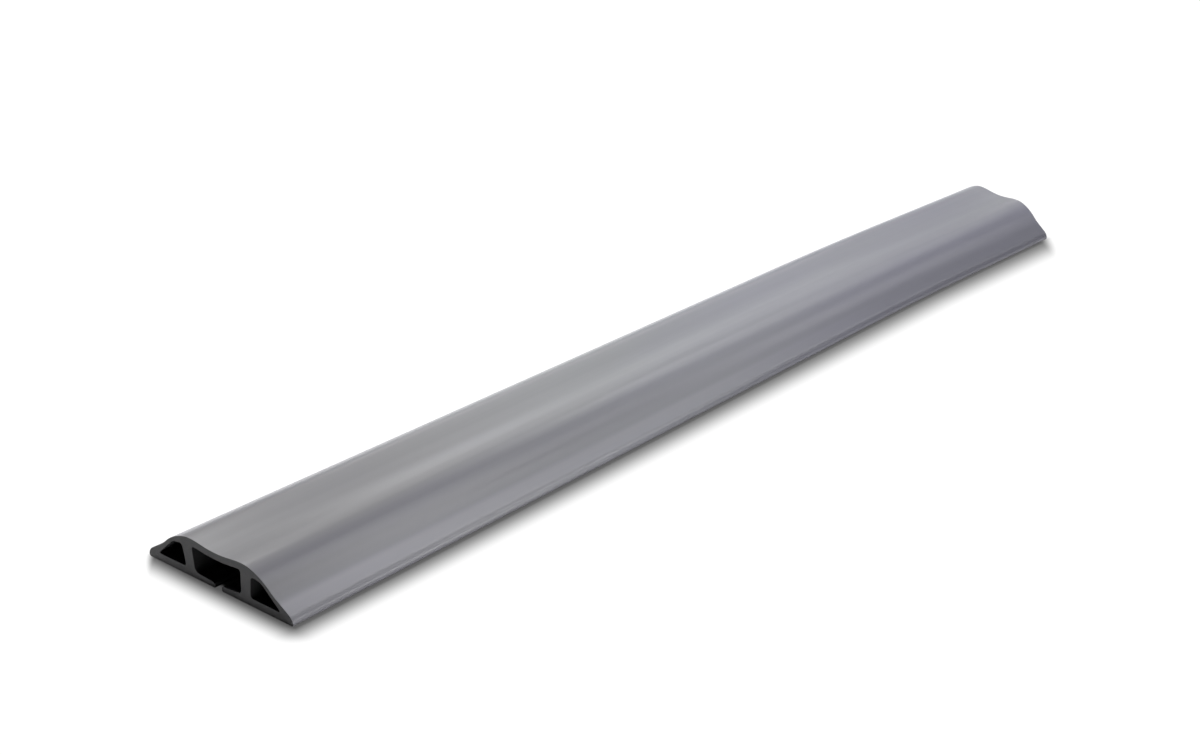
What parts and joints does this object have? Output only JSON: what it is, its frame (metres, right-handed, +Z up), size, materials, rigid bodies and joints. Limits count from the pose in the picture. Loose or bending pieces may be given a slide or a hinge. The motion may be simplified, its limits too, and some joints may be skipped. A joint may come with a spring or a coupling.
{
  "type": "flexible cable channel",
  "caption": "Low hump-shaped strip of soft grey plastic with hollow chambers along it and a slot in its flat underside, for covering cables on a floor.",
  "frame": {"origin": "bottom centre of the bounding box, on the flat underside", "axes": "+X along the strip towards the far end, +Z up out of the hump, +Y across towards the rear toe"},
  "size_m": [0.508, 0.0742, 0.0145],
  "materials": {
    "soft_pvc": "satin grey soft PVC"
  },
  "bodies": {
    "root": {"cable_channel": "soft_pvc"}
  },
  "joints": []
}
